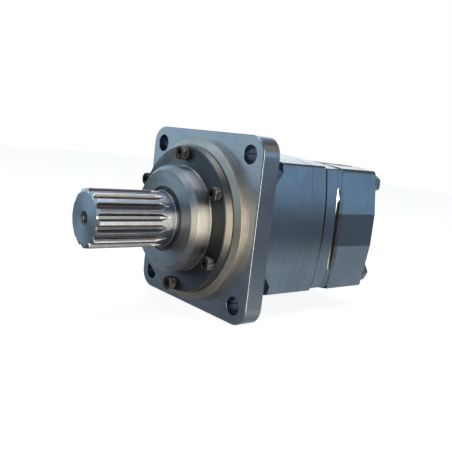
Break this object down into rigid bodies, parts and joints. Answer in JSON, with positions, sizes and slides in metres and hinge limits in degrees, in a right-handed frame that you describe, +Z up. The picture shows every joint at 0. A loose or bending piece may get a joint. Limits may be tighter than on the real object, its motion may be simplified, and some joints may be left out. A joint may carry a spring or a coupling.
{
  "type": "orbital hydraulic motor",
  "caption": "Orbital gear motor with a square flange, round pilot and splined shaft; high torque at low speed from oil pressure.",
  "frame": {"origin": "centre of the mounting flange's front face, on the shaft axis", "axes": "+X out along the output shaft, +Z up towards the port face, +Y to the left seen from behind the motor"},
  "size_m": [0.3265, 0.177, 0.177],
  "materials": {
    "painted_body": "satin blue-grey enamel over cast iron",
    "turned_steel": "bare turned steel with a light oil film",
    "spline_steel": "bare milled steel",
    "dark_screw": "black-oxide screws",
    "seal_rubber": "matt black nitrile",
    "wiper": "hard wiper ring",
    "bearing_steel": "ground and polished",
    "cage_steel": "pressed sheet steel",
    "hardened_steel": "case-hardened and lapped",
    "drive_steel": "phosphated alloy steel",
    "plate_iron": "ground cast iron, bare at the edge",
    "spring_steel": "bright spring wire",
    "copper": "soft copper",
    "painted_bolt": "bolt heads painted with the body"
  },
  "bodies": {
    "root": {"bearing_housing": "painted_body", "front_cover": "turned_steel", "front_cover_screws": "dark_screw", "front_cover_seal": "seal_rubber", "dust_seal": "wiper", "shaft_seal": "seal_rubber", "seal_spring": "spring_steel", "front_bearing_cup": "bearing_steel", "rear_bearing_cup": "bearing_steel", "spacer_plate": "painted_body", "gear_ring": "painted_body", "channel_plate": "plate_iron", "valve_housing": "painted_body", "housing_seal": "seal_rubber", "spacer_seal": "seal_rubber", "ring_seal": "seal_rubber", "plate_seal": "seal_rubber", "balance_plate": "hardened_steel", "balance_plate_seal": "seal_rubber", "balance_spring_set": "spring_steel", "balance_pins": "hardened_steel", "through_bolts": "painted_bolt", "drain_plug": "painted_bolt", "drain_washer": "copper"},
    "shaft": {"output_shaft": "spline_steel", "front_bearing_cone": "bearing_steel", "rear_bearing_cone": "bearing_steel", "lock_nut": "drive_steel"},
    "front_rollers": {"front_bearing_cage": "cage_steel", "front_bearing_rollers": "bearing_steel"},
    "rear_rollers": {"rear_bearing_cage": "cage_steel", "rear_bearing_rollers": "bearing_steel"},
    "orbit": {"drive_spacer": "hardened_steel"},
    "star": {"star": "hardened_steel"},
    "cardan": {"cardan_shaft": "drive_steel"},
    "valve_drive": {"valve_drive": "drive_steel"},
    "disc_valve": {"disc_valve": "hardened_steel"},
    "ring_roller_1": {"ring_roller_1": "hardened_steel"},
    "ring_roller_2": {"ring_roller_2": "hardened_steel"},
    "ring_roller_3": {"ring_roller_3": "hardened_steel"},
    "ring_roller_4": {"ring_roller_4": "hardened_steel"},
    "ring_roller_5": {"ring_roller_5": "hardened_steel"},
    "ring_roller_6": {"ring_roller_6": "hardened_steel"},
    "ring_roller_7": {"ring_roller_7": "hardened_steel"}
  },
  "joints": [
    {"name": "shaft_spin", "type": "hinge", "parent": "root", "child": "shaft", "pos_m": [0, 0, 0], "axis": [1, 0, 0], "continuous": true},
    {"name": "front_rollers_spin", "type": "hinge", "parent": "root", "child": "front_rollers", "pos_m": [0, 0, 0], "axis": [1, 0, 0], "continuous": true},
    {"name": "rear_rollers_spin", "type": "hinge", "parent": "root", "child": "rear_rollers", "pos_m": [0, 0, 0], "axis": [1, 0, 0], "continuous": true},
    {"name": "star_orbit", "type": "hinge", "parent": "root", "child": "orbit", "pos_m": [-0.121, 0, 0], "axis": [1, 0, 0], "continuous": true},
    {"name": "star_spin", "type": "hinge", "parent": "orbit", "child": "star", "pos_m": [-0.121, 0.005, 0], "axis": [1, 0, 0], "continuous": true},
    {"name": "cardan_spin", "type": "hinge", "parent": "orbit", "child": "cardan", "pos_m": [-0.047, 0, 0], "axis": [0.9972, -0.0744, 0], "continuous": true},
    {"name": "valve_drive_spin", "type": "hinge", "parent": "orbit", "child": "valve_drive", "pos_m": [-0.1311, 0.005, 0], "axis": [0.9864, 0.1644, 0], "continuous": true},
    {"name": "disc_valve_spin", "type": "hinge", "parent": "root", "child": "disc_valve", "pos_m": [-0.145, 0, 0], "axis": [1, 0, 0], "continuous": true},
    {"name": "ring_roller_1_spin", "type": "hinge", "parent": "root", "child": "ring_roller_1", "pos_m": [-0.121, 0.05, 0], "axis": [1, 0, 0], "continuous": true},
    {"name": "ring_roller_2_spin", "type": "hinge", "parent": "root", "child": "ring_roller_2", "pos_m": [-0.121, 0.03117, 0.03909], "axis": [1, 0, 0], "continuous": true},
    {"name": "ring_roller_3_spin", "type": "hinge", "parent": "root", "child": "ring_roller_3", "pos_m": [-0.121, -0.01113, 0.04875], "axis": [1, 0, 0], "continuous": true},
    {"name": "ring_roller_4_spin", "type": "hinge", "parent": "root", "child": "ring_roller_4", "pos_m": [-0.121, -0.04505, 0.02169], "axis": [1, 0, 0], "continuous": true},
    {"name": "ring_roller_5_spin", "type": "hinge", "parent": "root", "child": "ring_roller_5", "pos_m": [-0.121, -0.04505, -0.02169], "axis": [1, 0, 0], "continuous": true},
    {"name": "ring_roller_6_spin", "type": "hinge", "parent": "root", "child": "ring_roller_6", "pos_m": [-0.121, -0.01113, -0.04875], "axis": [1, 0, 0], "continuous": true},
    {"name": "ring_roller_7_spin", "type": "hinge", "parent": "root", "child": "ring_roller_7", "pos_m": [-0.121, 0.03117, -0.03909], "axis": [1, 0, 0], "continuous": true}
  ],
  "couplings": [
    {"joint": "front_rollers_spin", "follows": "shaft_spin", "ratio": 0.4353},
    {"joint": "rear_rollers_spin", "follows": "shaft_spin", "ratio": 0.4411},
    {"joint": "star_orbit", "follows": "shaft_spin", "ratio": -6},
    {"joint": "star_spin", "follows": "shaft_spin", "ratio": 7},
    {"joint": "cardan_spin", "follows": "shaft_spin", "ratio": 7},
    {"joint": "valve_drive_spin", "follows": "shaft_spin", "ratio": 7},
    {"joint": "disc_valve_spin", "follows": "shaft_spin", "ratio": 1}
  ]
}
